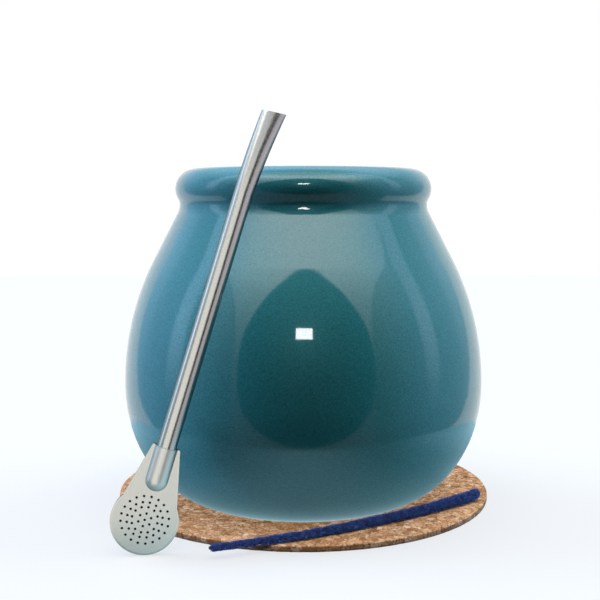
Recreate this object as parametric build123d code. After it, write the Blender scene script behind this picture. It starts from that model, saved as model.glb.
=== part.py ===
# Mate drinking set, in millimetres: a round ceramic mate cup that stands on a thin
# cork coaster, its steel drinking straw with a flat spoon strainer leaning on the
# cup, and a little fibre brush for cleaning the straw, which lies on the coaster.
# The origin is on the cup's axis, on the surface that the coaster lies on. +Z is up
# and the front faces -Y.

from build123d import *
from math import asin, atan2, cos, degrees, hypot, radians, sin, sqrt, tan
import os

# Coaster
coaster_radius = 51.0
coaster_thickness = 1.6
coaster_edge = 0.3              # rounding of both rims
coaster_shift = 6.0             # its centre lies this far behind the cup's axis

# Cup, with heights measured from its own foot
cup_height = 88.0
belly_radius = 48.0
belly_height = 31.0             # the widest ring
foot_curve = 23.0               # how far the lower curve draws in, down to the foot
shoulder_fullness = 1.57        # slope of the shoulder, over that from belly to neck
neck_radius = 33.0
neck_bend = 5.0                 # radius of the hollow curve into the neck
lip_roll = 5.3                  # radius of the rolled lip
lip_overhang = 1.1              # how far the roll stands out from the neck
lip_rise = 4.0                  # the roll's centre above the narrowest ring
wall = 5.0
floor_thickness = 6.0
mouth_radius = 26.5
foot_ring_width = 3.6
foot_recess = 1.2

# Straw: a round tube, a flattened mouthpiece and a strainer of two pressed plates
tube_radius = 2.25
tube_wall = 0.4
straw_length = 106.5            # from the strainer's lower edge to the mouthpiece
mouth_length = 20.0
mouth_width = 5.7
mouth_depth = 2.7
mouth_mid_width = 5.1
mouth_mid_depth = 3.8
mouth_offset = 1.4              # sideways set of the mouthpiece's end
mouth_bend = 5.0                # degrees that its end leans over
mouth_rounding = 0.12

strainer_radius = 7.9
strainer_neck_width = 6.4       # straight top edge of the plates
strainer_neck_height = 17.8     # that edge above the strainer's centre
sheet = 0.35                    # thickness of the pressed plates
rim_width = 0.5                 # flange of the back plate, outside the front plate
pan_depth = 1.3                 # depth of the back plate
seat_width = 0.35               # how far the front plate laps onto the flange
channel_end = 7.3               # foot of the pressed channel above the centre
tube_fit = 0.04                 # play between the tube and the channels

hole_radius = 0.3
hole_rings = {0.0: 1, 1.5: 6, 3.0: 12, 4.1: 16, 5.5: 20}    # ring radius: holes
hole_centre = 0.4               # centre of the rings above the strainer's centre

straw_bearing = 231.7           # direction of its foot, seen from the cup's axis
straw_tilt = 16.9               # degrees to the right, from upright
straw_lean = 5.6                # degrees back, towards the cup
straw_turn = 3.5                # degrees that its face turns to the right
lean_gap = 0.25                 # between the tube and the cup that it leans on

# Cleaning brush: a tapered, slightly bent roll of fibres on a wire
brush_tip_radius = 1.05
brush_end_radius = 1.7
brush_bend = 190.0              # radius of its gentle curve round the cup
brush_bearing = -57.8           # direction of the point that lies nearest the cup
brush_left = 44.1               # lengths either side of that point
brush_right = 34.9
brush_gap = 0.3                 # between the brush and the cup's foot

neck_height = cup_height - lip_roll - lip_rise
lip_centre = (neck_radius + lip_overhang - lip_roll, neck_height + lip_rise)


def side_curves(belly, neck, bend, draw_in, drop):
    """Lower curve, shoulder and hollow neck, each tangent to the next."""
    slope = shoulder_fullness * atan2(belly - neck, neck_height - belly_height)
    across = belly - neck - bend * (1 - cos(slope))
    rise = neck_height - belly_height - bend * sin(slope)
    shoulder = (rise * tan(slope) - across) * cos(slope) / (1 - cos(slope))
    pivot = (belly - draw_in, belly_height)
    lower = EllipticalCenterArc(pivot, draw_in, drop, -90, arc_size=90)
    turn = degrees(slope)
    upper = CenterArc((belly - shoulder, belly_height), shoulder, 0, turn)
    hollow = CenterArc((neck + bend, neck_height), bend, 180 + turn, -turn)
    return [lower, upper, Line(upper @ 1, hollow @ 0), hollow]


outside = side_curves(belly_radius, neck_radius, neck_bend, foot_curve, belly_height)
outline_points = [edge @ (i / 300) for edge in outside for i in range(301)]


def cup_gap(distance, height):
    """Distance of a point from the cup's outside, in a plane through its axis."""
    return min(hypot(distance - p.X, height - p.Y) for p in outline_points)


def make_cup():
    drop = lip_centre[0] - neck_radius
    cove = (lip_roll**2 - drop**2 - lip_rise**2) / (2 * (-drop - lip_roll))
    cove_turn = degrees(atan2(lip_rise, cove - drop))
    inner_roll = lip_centre[0] - mouth_radius
    lip = [
        CenterArc((neck_radius + cove, neck_height), cove, 180, -cove_turn),
        CenterArc(lip_centre, lip_roll, -cove_turn, 90 + cove_turn),
        CenterArc((lip_centre[0], cup_height - inner_roll), inner_roll, 90, 90),
        Line((mouth_radius, cup_height - inner_roll), (mouth_radius, neck_height)),
    ]
    inside = side_curves(
        belly_radius - wall,
        mouth_radius,
        neck_bend + wall,
        foot_curve - wall,
        belly_height - floor_thickness,
    )
    foot = belly_radius - foot_curve
    ring = foot - foot_ring_width
    base = Polyline(
        (foot, floor_thickness),
        (0, floor_thickness),
        (0, foot_recess),
        (ring, foot_recess),
        (ring, 0),
        (foot, 0),
    )
    section = make_face(outside + lip + inside + base.edges())
    return Pos(0, 0, coaster_thickness) * revolve(Plane.XZ * section, Axis.Z)


def make_coaster():
    disc = extrude(Circle(coaster_radius), coaster_thickness)
    disc = fillet(disc.edges().filter_by(GeomType.CIRCLE), coaster_edge)
    return Pos(0, coaster_shift, 0) * disc


# The straw's own frame: x to its right, y up its length, z out of its front, with
# the origin on the tube's axis at the centre of the strainer's round end.
straw_up = Vector(tan(radians(straw_tilt)), tan(radians(straw_lean)), 1).normalized()
straight_front = Vector(sin(radians(straw_turn)), -cos(radians(straw_turn)), 0)
straw_front = straight_front - straw_up * straw_up.dot(straight_front)
straw_front = straw_front.normalized()
tip_height = straw_length - strainer_radius
foot_height = strainer_radius * sqrt(1 - straw_front.Z**2) + pan_depth * straw_front.Z


def straw_foot(reach):
    """Centre of the strainer when it stands this far from the cup's axis."""
    angle = radians(straw_bearing)
    return Vector(reach * cos(angle), reach * sin(angle), foot_height)


def straw_gap(reach):
    """Least distance from the tube's axis to the cup's outside."""
    points = [straw_foot(reach) + straw_up * s for s in range(5, int(tip_height))]
    return min(cup_gap(hypot(p.X, p.Y), p.Z - coaster_thickness) for p in points)


def place_straw():
    """The straw's frame, moved in until the tube leans on the cup."""
    reach = belly_radius + 2 * strainer_radius
    for _ in range(25):
        reach += tube_radius + lean_gap - straw_gap(reach)
    side = straw_up.cross(straw_front)
    return Plane(origin=straw_foot(reach), x_dir=side, z_dir=straw_front)


def across_straw(height, offset=0.0, bend=0.0):
    """Plane square to the tube at a height along it."""
    return Plane.XZ.offset(-height) * Pos(offset, 0, 0) * Rot(0, bend, 0)


def mouthpiece(inset):
    """The tube's end, from round to a wide oval, with its wall set in by inset."""
    start = across_straw(tip_height - mouth_length) * Circle(tube_radius - inset)
    middle = across_straw(tip_height - mouth_length / 2, mouth_offset / 3, mouth_bend)
    end = across_straw(tip_height, mouth_offset, mouth_bend)
    middle *= Ellipse(mouth_mid_width / 2 - inset, mouth_mid_depth / 2 - inset)
    end *= Ellipse(mouth_width / 2 - inset, mouth_depth / 2 - inset)
    return loft([start, middle, end])


def make_tube():
    tube_foot = channel_end + tube_radius + sheet
    length = tip_height - mouth_length - tube_foot
    ring = Circle(tube_radius) - Circle(tube_radius - tube_wall)
    tube = extrude(across_straw(tube_foot) * ring, -length)
    tube += mouthpiece(0) - mouthpiece(tube_wall)
    tip_edges = tube.faces().sort_by(Axis.Y)[-1].edges()
    return fillet(tip_edges, mouth_rounding)


def paddle(inset):
    """Outline of a strainer plate: a round end with straight sides to its neck."""
    radius = strainer_radius - inset
    half = strainer_neck_width / 2 - inset
    length = hypot(half, strainer_neck_height)
    tangent = atan2(strainer_neck_height, half) - asin(radius / length)
    touch = (radius * sin(tangent), -radius * cos(tangent))
    touch = (abs(touch[0]), abs(touch[1]))
    outline = Polyline(
        (-touch[0], touch[1]),
        (-half, strainer_neck_height),
        (half, strainer_neck_height),
        touch,
    )
    round_end = ThreePointArc(touch, (0, -radius), (-touch[0], touch[1]))
    return make_face(outline.edges() + [round_end])


def channel(radius):
    """Solid of the pressed channel: a rod with a ball end."""
    ball = channel_end + tube_radius + tube_fit + sheet
    rod = extrude(across_straw(ball) * Circle(radius), ball - strainer_neck_height)
    return rod + Pos(0, ball, 0) * Sphere(radius)


def half_space(sign):
    """A block in front of (+1) or behind (-1) the tube's axis."""
    size = 4 * strainer_neck_height
    return Pos(0, 0, sign * size / 2) * Box(size, size, size)


def make_front_plate():
    bore = tube_radius + tube_fit
    plate = extrude(paddle(rim_width), sheet)
    plate += channel(bore + sheet) & half_space(1)
    plate -= channel(bore)
    for ring, count in hole_rings.items():
        places = PolarLocations(ring, count, start_angle=90)
        for place in places:
            plate -= Pos(0, hole_centre, 0) * place * Cylinder(hole_radius, 4 * sheet)
    return plate


def make_back_plate():
    bore = tube_radius + tube_fit
    pan = extrude(paddle(0), -pan_depth)
    hollow = extrude(paddle(rim_width + seat_width), sheet - pan_depth)
    pan += channel(bore + sheet) & half_space(-1)
    return pan - hollow - channel(bore)


def make_brush():
    near_radius = brush_tip_radius + (brush_end_radius - brush_tip_radius) * brush_left / (
        brush_left + brush_right)
    distance = belly_radius
    for _ in range(80):
        distance -= cup_gap(distance, near_radius) - near_radius - brush_gap

    def on_curve(along, radius):
        angle = radians(brush_bearing) + along / brush_bend
        middle = radians(brush_bearing)
        return Vector(
            (distance - brush_bend) * cos(middle) + brush_bend * cos(angle),
            (distance - brush_bend) * sin(middle) + brush_bend * sin(angle),
            coaster_thickness + radius,
        )

    left = on_curve(-brush_left, brush_tip_radius)
    near = on_curve(0, near_radius)
    right = on_curve(brush_right, brush_end_radius)
    path = ThreePointArc(left, near, right)
    tip = Plane(origin=path @ 0, z_dir=path % 0) * Circle(brush_tip_radius)
    end = Plane(origin=path @ 1, z_dir=path % 1) * Circle(brush_end_radius)
    roll = sweep([tip, end], path=path, multisection=True)
    return roll + Pos(*left) * Sphere(brush_tip_radius)


straw_frame = place_straw()
parts = {
    "cup": make_cup(),
    "coaster": make_coaster(),
    "straw_tube": straw_frame * make_tube(),
    "strainer_front": straw_frame * make_front_plate(),
    "strainer_back": straw_frame * make_back_plate(),
    "cleaning_brush": make_brush(),
}

os.makedirs("parts", exist_ok=True)
for name, shape in parts.items():
    export_step(shape, f"parts/{name}.step")
    box = shape.bounding_box()
    print(f"{name}: {shape.volume:.0f} mm3, {box.min} to {box.max}")
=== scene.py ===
from math import ceil, cos, pi, radians, sin

import bpy
import numpy as np
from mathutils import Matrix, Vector
from mathutils.bvhtree import BVHTree
from mathutils.kdtree import KDTree


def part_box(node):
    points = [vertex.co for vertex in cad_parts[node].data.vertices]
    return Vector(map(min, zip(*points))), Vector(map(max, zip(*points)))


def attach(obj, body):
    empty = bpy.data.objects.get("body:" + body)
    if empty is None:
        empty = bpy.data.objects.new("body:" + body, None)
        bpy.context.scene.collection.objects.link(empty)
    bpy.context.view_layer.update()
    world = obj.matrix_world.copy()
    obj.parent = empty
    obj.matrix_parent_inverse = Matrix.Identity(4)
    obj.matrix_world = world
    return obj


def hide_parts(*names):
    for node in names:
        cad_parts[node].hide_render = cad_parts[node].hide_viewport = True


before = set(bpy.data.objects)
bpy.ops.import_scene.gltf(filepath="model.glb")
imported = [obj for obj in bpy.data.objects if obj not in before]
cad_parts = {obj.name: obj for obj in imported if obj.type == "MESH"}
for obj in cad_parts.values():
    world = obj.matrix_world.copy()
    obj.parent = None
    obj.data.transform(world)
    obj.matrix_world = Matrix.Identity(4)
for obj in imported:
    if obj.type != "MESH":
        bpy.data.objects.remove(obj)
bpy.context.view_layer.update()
mm = 0.001
noiseSpan = (0.3, 0.7)        # where the values of a noise texture mostly lie
print("frame loaded:", ", ".join(sorted(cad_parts)))

scene = bpy.context.scene
scene.view_settings.view_transform = "Standard"


def linear(hexColour):
    # "#rrggbb" in sRGB to a linear colour with alpha
    parts = [int(hexColour[i:i + 2], 16) / 255 for i in (1, 3, 5)]
    return [p / 12.92 if p <= 0.04045 else ((p + 0.055) / 1.055) ** 2.4 for p in parts] + [1]


def addNode(tree, kind, *inputs, **settings):
    # adds one shader node: inputs fill its open sockets in order, settings go by name
    node = tree.nodes.new("ShaderNode" + kind)
    for name in [n for n in settings if hasattr(node, n)]:
        setattr(node, name, settings.pop(name))
    stops = settings.pop("stops", {})                     # of a colour ramp, {place: colour}
    for _ in range(len(stops) - 2):
        node.color_ramp.elements.new(0.5)
    for place, point in zip(sorted(stops), node.color_ramp.elements if stops else ()):
        point.position, point.color = place, linear(stops[place])
    sockets = list(zip([s for s in node.inputs if s.enabled], inputs))
    sockets += [(node.inputs[name.replace("_", " ")], value) for name, value in settings.items()]
    for socket, value in sockets:
        if isinstance(value, bpy.types.Node):
            value = next(s for s in value.outputs if s.enabled)
        if isinstance(value, bpy.types.NodeSocket):
            tree.links.new(value, socket)
        else:
            socket.default_value = linear(value) if isinstance(value, str) else value
    return node


def newMaterial(name, **values):
    # a Principled material with its constant values set straight on the shader
    material = bpy.data.materials.new(name)
    material.use_nodes = True
    shader = material.node_tree.nodes["Principled BSDF"]
    for socket, value in values.items():
        socket = socket.replace("_", " ")
        shader.inputs[socket].default_value = linear(value) if isinstance(value, str) else value
    return material, material.node_tree, shader


def newPiece(name, points, faces, material, smooth=True):
    # a mesh object that rides on the set's one body
    mesh = bpy.data.meshes.new(name)
    mesh.from_pydata(np.asarray(points).tolist(), [], faces)
    mesh.polygons.foreach_set("use_smooth", [smooth] * len(mesh.polygons))
    mesh.materials.append(material)
    mesh.update()
    piece = bpy.data.objects.new(name, mesh)
    scene.collection.objects.link(piece)
    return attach(piece, "root")


def ringFaces(rings, around):
    # faces between neighbouring rings of points, with the same number of points in each
    faces = []
    for start in range(0, (rings - 1) * around, around):
        for i in range(around):
            j = (i + 1) % around
            faces.append((start + i, start + j, start + around + j, start + around + i))
    return faces


# ---- cup

cupLook = dict(
    glaze="#338b8f",
    pearl=0.10,               # share of the mica flakes in the glaze
    flakeRoughness=0.40,
    coatRoughness=0.04,
    grainSize=0.34 * mm,      # flakes are finer; drawn this coarse so that they show
    grainShare=0.26,          # how far the grain takes the brightness up and down
    cloudSize=18 * mm,        # where the glaze ran a little thicker or thinner
    cloudShare=0.03,
    clay={0.3: "#a79f92", 0.7: "#b9b2a6"},
    gritSize=0.6 * mm,
    footRing=0.15 * mm,       # faces this near to the lowest point are bare clay
)


def makeGlaze(look):
    # coloured glaze, poured and fired: a fine grain lies under a hard mirror-smooth skin
    material, tree, shader = newMaterial(
        "pearlGlazeFired", Metallic=look["pearl"], Roughness=look["flakeRoughness"],
        Specular_IOR_Level=0.1, Coat_Weight=1.0, Coat_Roughness=look["coatRoughness"],
        Coat_IOR=1.5,
    )
    place = addNode(tree, "TexCoord").outputs["Object"]
    grain = addNode(tree, "TexNoise", Vector=place, Scale=1 / look["grainSize"], Detail=2.0)
    cloud = addNode(tree, "TexNoise", Vector=place, Scale=1 / look["cloudSize"], Detail=2.0)
    swing, drift = look["grainShare"], look["cloudShare"]
    grained = addNode(tree, "MapRange", grain, *noiseSpan, 1 - swing, 1 + swing)
    clouded = addNode(tree, "MapRange", cloud, *noiseSpan, 1 - drift, 1 + drift)
    level = addNode(tree, "Math", grained, clouded, operation="MULTIPLY")
    colour = addNode(tree, "VectorMath", linear(look["glaze"])[:3], operation="SCALE",
                     Scale=level)
    tree.links.new(colour.outputs[0], shader.inputs["Base Color"])
    return material


def makeClay(look):
    # bare fired clay: dry, matt and slightly gritty
    material, tree, shader = newMaterial("bareClayFired", Roughness=0.9)
    place = addNode(tree, "TexCoord").outputs["Object"]
    grit = addNode(tree, "TexNoise", Vector=place, Scale=1 / look["gritSize"])
    colour = addNode(tree, "ValToRGB", grit, stops=look["clay"])
    tree.links.new(colour.outputs[0], shader.inputs["Base Color"])
    return material


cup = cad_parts["cup"]
cup.data.materials.clear()
cup.data.materials.append(makeGlaze(cupLook))
cup.data.materials.append(makeClay(cupLook))
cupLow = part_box("cup")[0]
for face in cup.data.polygons:
    face.material_index = int(face.center.z < cupLow.z + cupLook["footRing"])
print("cup finished")

# ---- coaster

coasterLook = dict(
    crumb=1.7 * mm,           # mean size of the cork crumbs
    scatter=1.03,             # share of the radius that the crumbs fill
    step=0.42 * mm,           # mesh spacing from ring to ring
    around=720,               # mesh points in each ring
    groove=0.10 * mm,         # depth between crumbs
    grooveWidth=0.35 * mm,
    notch=0.12 * mm,          # depth between crumbs at the edge
    tilt=0.05 * mm,           # height differences of the crumbs
    tiltSpan=(-2, 1),         # the most they may be, down and up, in tilts
    rim=0.3 * mm,             # how far the edge is rounded
    rimMiddle=0.3,            # where the rounding's middle lies, as a share of rim
    edgeRows=(0.0, 0.33, 0.67, 1.0),
    edge=0.6,                 # painted shade: brightness left at the cut edge
    edgeShadeSpan=(0.3, 0.8),      # upward part of the normal, from the shaded edge to the top
    tones={0.0: "#93653f", 0.12: "#b07f55", 0.4: "#c5946a", 0.7: "#d3a57b", 0.88: "#dcb18a",
           1.0: "#e6c5a6"},
    bend=dict(size=1.0 * mm, reach=1.1 * mm),         # how the crumbs' outlines wander
    seam=dict(colour="#7d5132", width=0.10, most=0.75),
    bark=dict(colour="#5e3b24", size=0.9 * mm, start=0.53, full=0.62, most=0.9),
    patch=dict(size=5 * mm, least=0.80, most=1.06),
    seed=11,
)


def makeCork(look):
    # pressed cork: matt crumbs of several browns, dark bark between them and a few pale chips;
    # the cut edge is darkened with painted shade
    material, tree, shader = newMaterial("corkPressed", Roughness=0.85, Specular_IOR_Level=0.25)
    bend, seam, bark, patch = look["bend"], look["seam"], look["bark"], look["patch"]
    place = addNode(tree, "TexCoord").outputs["Object"]
    wander = addNode(tree, "TexNoise", Vector=place, Scale=1 / bend["size"], Detail=2.0)
    shift = addNode(tree, "VectorMath", wander.outputs["Color"], (0.5, 0.5, 0.5),
                    operation="SUBTRACT")
    shift = addNode(tree, "VectorMath", shift, operation="SCALE", Scale=bend["reach"])
    bent = addNode(tree, "VectorMath", place, shift, operation="ADD")
    crumbs = addNode(tree, "TexVoronoi", Vector=bent, Scale=1 / look["crumb"])
    tint = addNode(tree, "SeparateColor", crumbs.outputs["Color"])
    tone = addNode(tree, "ValToRGB", tint.outputs["Red"], stops=look["tones"])
    edges = addNode(tree, "TexVoronoi", Vector=bent, Scale=1 / look["crumb"],
                    feature="DISTANCE_TO_EDGE")
    between = addNode(tree, "MapRange", edges.outputs["Distance"], 0.0, seam["width"],
                      seam["most"], 0.0)
    seamed = addNode(tree, "Mix", between, tone, seam["colour"], data_type="RGBA")
    fleck = addNode(tree, "TexNoise", Vector=place, Scale=1 / bark["size"], Detail=5.0,
                    Roughness=0.75)
    speck = addNode(tree, "MapRange", fleck, bark["start"], bark["full"], 0.0, bark["most"])
    specked = addNode(tree, "Mix", speck, seamed.outputs[2], bark["colour"], data_type="RGBA")
    cloud = addNode(tree, "TexNoise", Vector=place, Scale=1 / patch["size"], Detail=3.0)
    drift = addNode(tree, "MapRange", cloud, *noiseSpan, patch["least"], patch["most"])
    # painted shade: the disc's sides, which face away from the light, are drawn darker
    facing = addNode(tree, "SeparateXYZ", addNode(tree, "NewGeometry").outputs["Normal"])
    edgeShade = addNode(tree, "MapRange", facing.outputs["Z"], *look["edgeShadeSpan"],
                     look["edge"], 1.0)
    level = addNode(tree, "Math", drift, edgeShade, operation="MULTIPLY")
    colour = addNode(tree, "VectorMath", specked.outputs[2], operation="SCALE", Scale=level)
    tree.links.new(colour.outputs[0], shader.inputs["Base Color"])
    return material


def makeCoaster(look):
    # a disc of rings; its points sink between the crumbs, whose middles a tree holds
    low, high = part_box("coaster")
    radius = (high.x - low.x) / 2
    middle = Vector(((low.x + high.x) / 2, (low.y + high.y) / 2))
    top, rim = high.z, look["rim"]
    random = np.random.default_rng(look["seed"])
    crumbCount = int(pi * radius**2 / look["crumb"]**2)
    spread = radius * look["scatter"] * np.sqrt(random.random(crumbCount))
    turn = random.random(crumbCount) * 2 * pi
    lifts = random.normal(0, 1, crumbCount).clip(*look["tiltSpan"]) * look["tilt"]
    tree = KDTree(crumbCount)
    for i in range(crumbCount):
        tree.insert((spread[i] * cos(turn[i]), spread[i] * sin(turn[i]), 0), i)
    tree.balance()
    ringCount = ceil((radius - rim) / look["step"])
    around = look["around"]
    corner = look["rimMiddle"] * rim
    profile = [(radius - rim, low.z), (radius - corner, low.z + corner)]
    profile += [(radius, low.z + rim + (top - low.z - 2 * rim) * share)
                for share in look["edgeRows"]]
    profile += [(radius - corner, top - corner)]
    profile += [((radius - rim) * i / ringCount, top) for i in range(ringCount, 0, -1)]
    points = []
    for ring, height in profile:
        for i in range(around):
            angle = 2 * pi * i / around
            x, y = ring * cos(angle), ring * sin(angle)
            found = tree.find_n((x, y, 0), 2)
            near = max(0.0, 1 - (found[1][2] - found[0][2]) / look["grooveWidth"])
            if height == top:
                rise = lifts[found[0][1]] - near * look["groove"] - look["tilt"]
                points.append((middle.x + x, middle.y + y, height + rise))
            else:
                inset = 1 - near * look["notch"] / radius
                points.append((middle.x + x * inset, middle.y + y * inset, height))
    faces = ringFaces(len(profile), around)
    points += [(middle.x, middle.y, top - look["tilt"]), (middle.x, middle.y, low.z)]
    last = (len(profile) - 1) * around
    for i in range(around):
        j = (i + 1) % around
        faces.append((last + i, last + j, len(points) - 2))
        faces.append((j, i, len(points) - 1))
    piece = newPiece("corkCoaster", points, faces, makeCork(look))
    piece.visible_glossy = False                          # keeps the foot of the glaze clear
    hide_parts("coaster")
    return piece


corkCoaster = makeCoaster(coasterLook)
print("coaster made")

# ---- straw

strawLook = dict(
    tube=dict(name="stainlessTubePolished", colour="#cbc8bf", roughness=0.24, edge="#5e5d59"),
    plate=dict(name="stainlessSheetPressed", colour="#d2d0c6", roughness=0.40, edge="#b0b0ac"),
    polishing=0.4 * mm,       # marks are finer; drawn this coarse so that they show
    uneven=0.02,              # how far the marks take the roughness up and down
    # tones of the painted shade inside the strainer
    shadeTones={0.3: "#0e0c0a", 0.7: "#1b1815"},
    shadeCloudSize=1.5 * mm,
    hollow=3.0 * mm,          # faces that see each other this near lie in the strainer
    probe=0.6,                # rays start this share of the way from a face's middle outward
    clear=0.01 * mm,          # and this far off it
    opposed=-0.3,             # a face hit has to face back at least this much
)


def makeSteel(look, steel):
    # stainless steel, polished: a soft shine, slightly uneven from fine polishing marks
    material, tree, shader = newMaterial(steel["name"], Metallic=1.0,
                                         Base_Color=steel["colour"],
                                         Specular_Tint=steel["edge"])
    place = addNode(tree, "TexCoord").outputs["Object"]
    rubbed = addNode(tree, "TexNoise", Vector=place, Scale=1 / look["polishing"], Detail=1.0)
    least, most = steel["roughness"] - look["uneven"], steel["roughness"] + look["uneven"]
    rough = addNode(tree, "MapRange", rubbed, *noiseSpan, least, most)
    tree.links.new(rough.outputs[0], shader.inputs["Roughness"])
    return material


def makeInsideShade(look):
    # painted shade on the steel inside the strainer: dark and dull behind the holes
    material, tree, shader = newMaterial("stainlessSheetShadePainted", Roughness=0.7,
                                         Specular_IOR_Level=0.1)
    place = addNode(tree, "TexCoord").outputs["Object"]
    cloud = addNode(tree, "TexNoise", Vector=place, Scale=1 / look["shadeCloudSize"])
    tone = addNode(tree, "ValToRGB", cloud, stops=look["shadeTones"])
    tree.links.new(tone.outputs[0], shader.inputs["Base Color"])
    return material


def finishStraw(look):
    plates = [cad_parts[name] for name in ("strainer_front", "strainer_back")]
    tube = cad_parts["straw_tube"]
    tube.data.materials.clear()
    tubeSteel = makeSteel(look, look["tube"])
    tube.data.materials.append(tubeSteel)
    plateSteel = makeSteel(look, look["plate"])
    shadeMaterial = makeInsideShade(look)
    corners, faces = [], []
    for plate in plates:
        faces += [[len(corners) + i for i in face.vertices] for face in plate.data.polygons]
        corners += [v.co for v in plate.data.vertices]
    both = BVHTree.FromPolygons(corners, faces)
    for plate, bright in zip(plates, (plateSteel, tubeSteel)):
        plate.data.materials.clear()
        plate.data.materials.append(bright)
        plate.data.materials.append(shadeMaterial)
        # faces that look into the strainer's hollow get the painted shade
        for face in plate.data.polygons:
            inside = False
            for corner in face.vertices:
                near = face.center.lerp(plate.data.vertices[corner].co, look["probe"])
                start = near + face.normal * look["clear"]
                hit, facing, *_ = both.ray_cast(start, face.normal, look["hollow"])
                inside |= hit is not None and facing.dot(face.normal) < look["opposed"]
            face.material_index = int(inside)             # painted shade on the walls of the holes too
    for node in plates + [tube]:
        node.visible_glossy = node.visible_shadow = False     # keeps the glaze behind it clear
    tube.visible_diffuse = False                          # and free of the tube's soft shade
    return plates + [tube]


strawPieces = finishStraw(strawLook)
print("straw finished")

# ---- cleaning brush

brushLook = dict(
    slices=24,                # of the CAD mesh, which give the line and radius of the roll
    sliceSpan=(0.03, 0.97),
    sliceHalf=0.02,           # half a slice, as a share of the length
    tufts=1500,
    tuftFibres=28,
    tuftStart=0.012,
    tuftSpan=0.975,
    tuftWidth=0.42 * mm,
    wirePitch=2.3 * mm,       # one turn of the twisted wire
    reach=dict(least=0.80, wire=0.08, chance=0.16),   # how far tufts stand, in radii
    # brightness of each tuft: partly random, partly painted shade that darkens the hollows of
    # the twist
    tone=dict(least=0.18, wire=0.20, chance=0.72, full=0.95),
    fibreWidth=0.085 * mm,
    fibreSpan=(0.006, 0.994),
    fibreRoot=0.4,            # depth in the roll, in radii
    fibreKnee=0.6,            # where a fibre bends, from its root to its tip
    fibreReach=0.05,          # how unevenly the fibres of a tuft stand
    fibreLean=0.3,            # how far they lean to any side
    fibreCurl=0.1,            # and how far all of them one way round
    kneeShift=1.5,            # in halves of the fibre's width
    fibreTone=(0.85, 0.3),    # least and chance
    rootShadeTipLight=(0.15, 0.15, 0.8, 0.8, 1.15),            # painted shade and light, from a fibre's dark root to its bright tip
    ease=0.8 * mm,            # length of the rounded tip
    aboveMat=0.02 * mm,
    ahead=0.001,              # share of the length that gives the roll's direction
    core=dict(around=20, rings=90, span=(0.004, 0.996), radius=0.55),
    colours={0.0: "#0f1d4e", 0.35: "#183d8c", 0.7: "#2a5cb0", 1.0: "#557fc4"},
    seed=5,
)


def makeChenille(look):
    # dyed chenille, no gloss: dark between the tufts and brighter at the tips, which is painted
    # shade and light on the dyed blue
    material, tree, shader = newMaterial("chenilleDyedShadePainted", Roughness=0.8, Sheen_Weight=0.25,
                                         Specular_IOR_Level=0.2)
    # the tone attribute holds random tuft tone together with painted shade and light
    tone = addNode(tree, "Attribute", attribute_name="tone").outputs["Fac"]
    colour = addNode(tree, "ValToRGB", tone, stops=look["colours"])
    tree.links.new(colour.outputs[0], shader.inputs["Base Color"])
    return material


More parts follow.
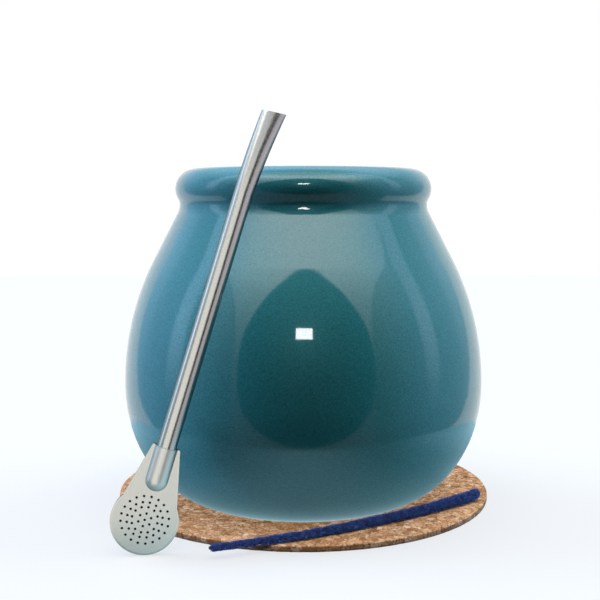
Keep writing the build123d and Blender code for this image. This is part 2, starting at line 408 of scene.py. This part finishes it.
def makeBrush(look):
    # middle line and radius of the roll come from slices of its CAD mesh along its length
    points = np.array([v.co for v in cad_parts["cleaning_brush"].data.vertices])
    centre = points.mean(0)
    along = np.linalg.svd(points - centre, full_matrices=False)[2][0]
    along *= np.sign(along[0])
    distance = (points - centre) @ along
    start, length = distance.min(), np.ptp(distance)
    across = np.cross(along, (0, 0, 1))
    across /= np.linalg.norm(across)
    sideways = (points - centre) @ across
    shares = np.linspace(*look["sliceSpan"], look["slices"])
    middles, radii = [], []
    for share in shares:
        slab = np.abs(distance - start - length * share) < length * look["sliceHalf"]
        middles.append((sideways[slab].max() + sideways[slab].min()) / 2)
        radii.append(np.ptp(points[slab][:, 2]) / 2)
    bendFit = np.polyfit(shares, middles, 2)
    radiusFit = np.polyfit(shares, radii, 1)
    bottom = points[:, 2].min()

    def onLine(share):
        # place and radius of the roll at a share of its length
        radius = np.polyval(radiusFit, share)
        place = centre + np.outer(start + length * share, along)
        place += np.outer(np.polyval(bendFit, share), across)
        place[:, 2] = bottom + radius
        return place, radius

    random = np.random.default_rng(look["seed"])
    tufts, each = look["tufts"], look["tuftFibres"]
    count = tufts * each
    tuftShare = random.random(tufts) * look["tuftSpan"] + look["tuftStart"]
    tuftTurn = random.random(tufts) * 2 * pi
    wire = 0.5 + 0.5 * np.cos(2 * tuftTurn + tuftShare * length / look["wirePitch"] * 2 * pi)
    stand, shade = look["reach"], look["tone"]
    tuftReach = stand["least"] + stand["wire"] * wire + stand["chance"] * random.random(tufts)
    tuftToneAndShade = shade["least"] + shade["wire"] * wire + shade["chance"] * random.random(tufts)
    tuftToneAndShade *= tuftReach / shade["full"]                 # painted shade: hollows are darker than knobs
    owner = np.repeat(np.arange(tufts), each)
    _, radius = onLine(tuftShare[owner])
    half = look["tuftWidth"] / 2
    share = tuftShare[owner] + random.normal(0, half / length, count)
    share = share.clip(*look["fibreSpan"])
    turn = tuftTurn[owner] + random.normal(0, 1, count) * half / radius
    base, radius = onLine(share)
    ahead, _ = onLine(share + look["ahead"])
    tangent = ahead - base
    tangent /= np.linalg.norm(tangent, axis=1)[:, None]
    side = np.cross(tangent, np.tile((0.0, 0.0, 1.0), (count, 1)))
    side /= np.linalg.norm(side, axis=1)[:, None]
    up = np.cross(side, tangent)
    fromTip = share * length
    uneven = 1 + look["fibreReach"] * random.standard_normal(count).clip(-1.5, 1)
    reach = (radius * tuftReach[owner] * uneven).clip(None, radius)
    reach *= np.minimum(1, np.sqrt(fromTip / look["ease"]))
    outward = np.cos(turn)[:, None] * side + np.sin(turn)[:, None] * up
    lean, curl = look["fibreLean"], look["fibreCurl"]
    direction = outward + random.normal(0, lean, count)[:, None] * tangent
    direction += np.cross(outward, tangent) * random.normal(curl, lean, count)[:, None]
    direction /= np.linalg.norm(direction, axis=1)[:, None]
    root = base + outward * (radius * look["fibreRoot"])[:, None]
    tip = base + direction * reach[:, None]
    tip[:, 2] = np.maximum(tip[:, 2], bottom + look["aboveMat"])
    wide = np.cross(direction, random.normal(0, 1, (count, 3)))
    wide *= look["fibreWidth"] / 2 / np.linalg.norm(wide, axis=1)[:, None]
    knee = root + (tip - root) * look["fibreKnee"]
    knee += wide * random.normal(0, look["kneeShift"], count)[:, None]
    fibres = np.stack([root - wide, root + wide, knee + wide, knee - wide, tip], axis=1)
    faces = []
    for i in range(0, count * 5, 5):
        faces += [(i, i + 1, i + 2, i + 3), (i + 3, i + 2, i + 4)]
    least, chance = look["fibreTone"]
    strength = tuftToneAndShade[owner] * (least + chance * random.random(count))
    # random tone times painted shade at the roots and painted light at the tips
    tones = strength[:, None] * look["rootShadeTipLight"]
    material = makeChenille(look)
    piece = newPiece("cleaningBrush", fibres.reshape(-1, 3), faces, material)
    layer = piece.data.attributes.new("tone", "FLOAT", "POINT")
    layer.data.foreach_set("value", tones.ravel().clip(0, 1))
    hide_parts("cleaning_brush")

    core = look["core"]                                   # the dense core under the fibres
    around, rings = core["around"], core["rings"]
    shares = np.linspace(*core["span"], rings)
    base, radius = onLine(shares)
    corePoints = []
    for k in range(rings):
        ease = min(1, (shares[k] * length / look["ease"]) ** 0.5)
        for i in range(around):
            angle = 2 * pi * i / around
            offset = np.array((sin(angle) * -along[1], sin(angle) * along[0], cos(angle)))
            corePoints.append(base[k] + offset * radius[k] * core["radius"] * ease)
    coreFaces = ringFaces(rings, around)
    coreFaces.append(tuple(range(around)))
    coreFaces.append(tuple((rings - 1) * around + i for i in reversed(range(around))))
    corePiece = newPiece("brushCore", corePoints, coreFaces, material)
    for part in (piece, corePiece):
        part.visible_glossy = False                       # keeps the foot of the glaze clear
    return [piece, corePiece]


brushPieces = makeBrush(brushLook)
print("cleaning brush made")

# ---- studio

studioLook = dict(
    # angles in degrees, from straight ahead of the set and from the horizon
    split=0.02,               # radians over which the left side's light turns to the right's
    # what matt surfaces see: soft light from overhead and from both sides, little in front
    overhead=dict(rise=(44, 56), level=1.67, colour="#f8fbff"),
    sides=dict(at=(108, 8), half=(30, 40), power=3.0, edge=0.3, left=4.6, right=3.5,
               ambient=0.01, leftColour="#b4d3ff", rightColour="#c8e4ff"),
    # what gloss mirrors: a tent that is brighter by e each 20.4 degrees up, with a lower
    # limit at the sides and behind, and dimmer again overhead
    tent=dict(glow=0.33, rise=20.4, least=0.26, most=4.4),
    tentSides=dict(turn=(60, 85), rise=(35, 60), most=(0.75, 2.4)),
    crown=dict(rise=(58, 74), level=0.45),
    # the dark gap round the camera, then the dimmer cloth at both sides
    opening=dict(at=(2, 7), half=(43, 42), power=2.0, edge=0.05, level=0.02),
    skirt=dict(at=(82, 0), half=(38, 40), power=3.0, edge=0.04, level=0.56),
    # bluish light added at both sides, broad and in upright strips
    walls=dict(turn=(45, 88), rise=(-45, 10), least=0.1, left=0.50, right=0.30,
               leftColour="#bfdfff", rightColour="#cfe4ff"),
    strips=dict(at=88, half=6, blur=2.5, rise=(-14, 16), left=1.9, right=1.2),
    # plain white behind the set, outside this oval and below the fall
    backdrop=dict(at=(85, 12), half=(49, 40), power=2.0, edge=0.05, turn=(84, 88),
                  fall=(14, 32), level=0.93),
)


def makeStudio(look):
    # a world that differs for matt surfaces, for gloss and for the camera
    world = bpy.data.worlds.new("studio")
    scene.world = world
    world.use_nodes = True
    world.cycles.sampling_method = "NONE"
    tree = world.node_tree
    tree.nodes.clear()
    direction = addNode(tree, "TexCoord").outputs["Generated"]
    parts = addNode(tree, "SeparateXYZ", direction)
    forward = addNode(tree, "Math", parts.outputs["Y"], -1.0, operation="MULTIPLY")
    azimuth = addNode(tree, "Math", parts.outputs["X"], forward, operation="ARCTAN2")
    height = addNode(tree, "Math", parts.outputs["Z"], operation="ARCSINE")
    aside = addNode(tree, "Math", azimuth, operation="ABSOLUTE")
    onRight = addNode(tree, "MapRange", azimuth, -look["split"], look["split"])

    def oval(zone, across):
        # 1 inside an oval of directions, 0 outside, with a soft edge
        sums = None
        for value, middle, half in zip((across, height), zone["at"], zone["half"]):
            offset = addNode(tree, "Math", value, radians(middle), operation="SUBTRACT")
            apart = addNode(tree, "Math", offset, operation="ABSOLUTE")
            share = addNode(tree, "Math", apart, radians(half), operation="DIVIDE")
            term = addNode(tree, "Math", share, zone["power"], operation="POWER")
            sums = term if sums is None else addNode(tree, "Math", sums, term, operation="ADD")
        return addNode(tree, "MapRange", sums, 1 - zone["edge"], 1 + zone["edge"], 1.0, 0.0,
                       interpolation_type="SMOOTHSTEP")

    tent, tentSides, crown = look["tent"], look["tentSides"], look["crown"]
    rise = addNode(tree, "Math", height, radians(tent["rise"]), operation="DIVIDE")
    grown = addNode(tree, "Math", rise, operation="EXPONENT")
    glow = addNode(tree, "Math", grown, tent["glow"], operation="MULTIPLY")
    glow = addNode(tree, "Math", glow, tent["least"], operation="MAXIMUM")
    sideMost = addNode(tree, "MapRange", height, *map(radians, tentSides["rise"]),
                       *tentSides["most"])
    most = addNode(tree, "MapRange", aside, *map(radians, tentSides["turn"]), tent["most"],
                   sideMost)
    glow = addNode(tree, "Math", glow, most, operation="MINIMUM")
    dimmed = addNode(tree, "MapRange", height, *map(radians, crown["rise"]), 1.0,
                     crown["level"])
    glow = addNode(tree, "Math", glow, dimmed, operation="MULTIPLY")
    for zone, across in ((look["skirt"], aside), (look["opening"], azimuth)):
        dimmed = addNode(tree, "MapRange", oval(zone, across), 0.0, 1.0, 1.0, zone["level"])
        glow = addNode(tree, "Math", glow, dimmed, operation="MULTIPLY")

    walls, strips = look["walls"], look["strips"]
    wallShare = addNode(tree, "MapRange", aside, *map(radians, walls["turn"]),
                        interpolation_type="SMOOTHSTEP")
    wallRise = addNode(tree, "MapRange", height, *map(radians, walls["rise"]),
                       walls["least"], 1.0, interpolation_type="SMOOTHSTEP")
    wallLevel = addNode(tree, "Math", wallShare, wallRise, operation="MULTIPLY")
    offset = addNode(tree, "Math", aside, radians(strips["at"]), operation="SUBTRACT")
    apart = addNode(tree, "Math", offset, operation="ABSOLUTE")
    stripShare = addNode(tree, "MapRange", apart, radians(strips["half"] - strips["blur"]),
                         radians(strips["half"] + strips["blur"]), 1.0, 0.0,
                         interpolation_type="SMOOTHSTEP")
    stripRise = addNode(tree, "MapRange", height, *map(radians, strips["rise"]),
                        interpolation_type="SMOOTHSTEP")
    stripLevel = addNode(tree, "Math", stripShare, stripRise, operation="MULTIPLY")
    sideLight = addNode(tree, "Mix", onRight, walls["leftColour"], walls["rightColour"],
                        data_type="RGBA").outputs[2]
    sideParts = []
    for zone, level in ((walls, wallLevel), (strips, stripLevel)):
        strength = addNode(tree, "MapRange", onRight, 0.0, 1.0, zone["left"], zone["right"])
        sideParts.append(addNode(tree, "Math", level, strength, operation="MULTIPLY"))
    sidePart = addNode(tree, "Math", *sideParts, operation="ADD")
    tint = addNode(tree, "Mix", wallShare, "#ffffff", sideLight, data_type="RGBA").outputs[2]
    level = addNode(tree, "Math", glow, sidePart, operation="ADD")
    room = addNode(tree, "VectorMath", tint, operation="SCALE", Scale=level)

    backdrop = look["backdrop"]
    beyond = addNode(tree, "MapRange", oval(backdrop, aside), 0.0, 1.0, 1.0, 0.0)
    behind = addNode(tree, "MapRange", aside, *map(radians, backdrop["turn"]))
    low = addNode(tree, "MapRange", height, *map(radians, backdrop["fall"]), 1.0, 0.0,
                  interpolation_type="SMOOTHSTEP")
    share = addNode(tree, "Math", beyond, behind, operation="MULTIPLY")
    share = addNode(tree, "Math", share, low, operation="MULTIPLY")
    plain = [backdrop["level"]] * 3 + [1]
    mirrored = addNode(tree, "Mix", share, room, plain, data_type="RGBA")

    overhead, sides = look["overhead"], look["sides"]
    above = addNode(tree, "MapRange", height, *map(radians, overhead["rise"]), 0.0,
                    overhead["level"])
    fromAbove = addNode(tree, "VectorMath", linear(overhead["colour"])[:3],
                        operation="SCALE", Scale=above)
    strength = addNode(tree, "MapRange", onRight, 0.0, 1.0, sides["left"], sides["right"])
    colour = addNode(tree, "Mix", onRight, sides["leftColour"], sides["rightColour"],
                     data_type="RGBA").outputs[2]
    level = addNode(tree, "Math", oval(sides, aside), strength, operation="MULTIPLY")
    level = addNode(tree, "Math", level, sides["ambient"], operation="ADD")
    fromSides = addNode(tree, "VectorMath", colour, operation="SCALE", Scale=level)
    soft = addNode(tree, "VectorMath", fromAbove, fromSides, operation="ADD")
    path = addNode(tree, "LightPath")
    matt = addNode(tree, "Background", soft, 1.0)
    gloss = addNode(tree, "Background", mirrored.outputs[2], 1.0)
    seen = addNode(tree, "Background", "#ffffff", 1.0)
    lit = addNode(tree, "MixShader", path.outputs["Is Glossy Ray"], matt, gloss)
    final = addNode(tree, "MixShader", path.outputs["Is Camera Ray"], lit, seen)
    addNode(tree, "OutputWorld", final)


aim = Vector((0, 0, 0.045))   # the middle of the set, which every softbox faces
lampLook = dict(
    # one small lamp for the highlights in the glaze, three broad ones that the steel mirrors,
    # and one for the cork and the brush
    keyLight=dict(at=(0.013, -1.3907758, 0.6069099), size=(0.26, 0.12), radiance=22.0,
                  colour="#ffffff", receivers=[cup]),
    steelFront=dict(at=(-0.22, -0.82, -0.15), size=(0.98, 1.22), radiance=1.12,
                    colour="#fbfeff", receivers=strawPieces),
    steelAbove=dict(at=(0.02, -0.72, 0.62), size=(1.3, 0.5), radiance=0.75,
                    colour="#e6eeff", receivers=strawPieces),
    steelRight=dict(at=(0.48, -0.245, 0.03), size=(0.55, 1.3), radiance=0.45,
                    colour="#f1ecff", receivers=strawPieces),
    matFill=dict(at=(-0.08, -0.35, 0.70), size=(0.5, 0.5), radiance=7.0,
                 colour="#fffaf6", receivers=[corkCoaster] + brushPieces, matt=True),
)


def addPanel(name, at, size, radiance, colour, receivers, matt=False):
    # a flat softbox whose light only the receivers get
    lamp = bpy.data.lights.new(name, "AREA")
    lamp.shape = "RECTANGLE"
    lamp.size, lamp.size_y = size
    lamp.energy = radiance * pi * size[0] * size[1]
    lamp.color = linear(colour)[:3]
    panel = bpy.data.objects.new(name, lamp)
    panel.location = at
    panel.rotation_euler = (aim - Vector(at)).to_track_quat("-Z", "Y").to_euler()
    panel.visible_camera = False
    panel.visible_diffuse = matt                          # else only seen in the gloss
    scene.collection.objects.link(panel)
    group = bpy.data.collections.new(name + "Receivers")
    for piece in receivers:
        group.objects.link(piece)
    panel.light_linking.receiver_collection = group
    if matt:                                              # and only they shade each other
        panel.light_linking.blocker_collection = group


floorLook = dict(
    size=1.6,
    paint="#f6f6f6",
    lift=0.62,                # share of plain white that the camera sees
    # a pale glowing sheet under the set that only the glaze mirrors: a painted reflection of the
    # lit table
    sheet=dict(
        half=(100 * mm, 91 * mm),
        back=10 * mm,         # its middle lies this far behind the cup's
        edge=0.04,
        colour="#c0ecff",
        levels={0.08: 1.2, 0.42: 0.48, 0.60: 0.5, 0.85: 1.0},     # glow by share of half its width, with painted shade beside the set
        near=(38 * mm, 50 * mm),                                  # painted shade: dimmer close to the cup
        nearShade=0.7,
    ),
)


def makeFloor(look):
    # painted table: matt and pale, and mirrored only as the sheet near the set, which glows as a
    # painted reflection with painted shade
    material = bpy.data.materials.new("tablePainted")
    material.use_nodes = True
    tree = material.node_tree
    tree.nodes.clear()
    sheet = look["sheet"]
    wide, deep = sheet["half"]
    place = addNode(tree, "NewGeometry").outputs["Position"]
    offset = addNode(tree, "VectorMath", place, (0, sheet["back"], 0), operation="SUBTRACT")
    scaled = addNode(tree, "VectorMath", offset, (1 / wide, 1 / deep, 1), operation="MULTIPLY")
    far = addNode(tree, "VectorMath", scaled, operation="LENGTH").outputs["Value"]
    beside = addNode(tree, "Math", addNode(tree, "SeparateXYZ", place).outputs["X"],
                     operation="ABSOLUTE")
    places = sorted(sheet["levels"])
    level = 0.0
    for start, end in zip(places, places[1:]):
        change = sheet["levels"][end] - sheet["levels"][start]
        step = addNode(tree, "MapRange", beside, start * wide, end * wide, 0.0, change)
        level = addNode(tree, "Math", level, step, operation="ADD")
    level = addNode(tree, "Math", level, sheet["levels"][places[0]], operation="ADD")
    reach = addNode(tree, "VectorMath", place, operation="LENGTH").outputs["Value"]
    near = addNode(tree, "MapRange", reach, *sheet["near"], sheet["nearShade"], 1.0)
    level = addNode(tree, "Math", level, near, operation="MULTIPLY")
    # the sheet glows: a painted reflection of the lit table, with painted shade near the cup
    pale = addNode(tree, "Emission", sheet["colour"], level)
    clear = addNode(tree, "BsdfTransparent")
    outside = addNode(tree, "MapRange", far, 1 - sheet["edge"], 1 + sheet["edge"],
                      interpolation_type="SMOOTHSTEP")
    mirrored = addNode(tree, "MixShader", outside, pale, clear)
    paint = addNode(tree, "BsdfDiffuse", look["paint"])
    white = addNode(tree, "Emission", "#ffffff", 1.0)
    seen = addNode(tree, "MixShader", look["lift"], paint, white)
    path = addNode(tree, "LightPath")
    base = addNode(tree, "MixShader", path.outputs["Is Camera Ray"], clear, seen)
    final = addNode(tree, "MixShader", path.outputs["Is Glossy Ray"], base, mirrored)
    addNode(tree, "OutputMaterial", final)
    half = look["size"] / 2
    mesh = bpy.data.meshes.new("table")
    mesh.from_pydata([(-half, -half, 0), (half, -half, 0), (half, half, 0), (-half, half, 0)],
                     [], [(0, 1, 2, 3)])
    mesh.materials.append(material)
    floor = bpy.data.objects.new("table", mesh)
    scene.collection.objects.link(floor)


makeStudio(studioLook)
for lampName, lampValues in lampLook.items():
    addPanel(lampName, **lampValues)
makeFloor(floorLook)
print("studio made")

# ---- camera

cameraLook = dict(distance=0.270, height=0.0816, down=5.75, lens=60.0, sensor=36.0,
                  shift=-0.0056, near=0.01)
camera = bpy.data.objects.new("camera", bpy.data.cameras.new("camera"))
camera.data.lens = cameraLook["lens"]
camera.data.sensor_width = cameraLook["sensor"]
camera.data.shift_x = cameraLook["shift"]
camera.data.clip_start = cameraLook["near"]
camera.location = (0, -cameraLook["distance"], cameraLook["height"])
camera.rotation_euler = (radians(90 - cameraLook["down"]), 0, 0)
scene.collection.objects.link(camera)
scene.camera = camera
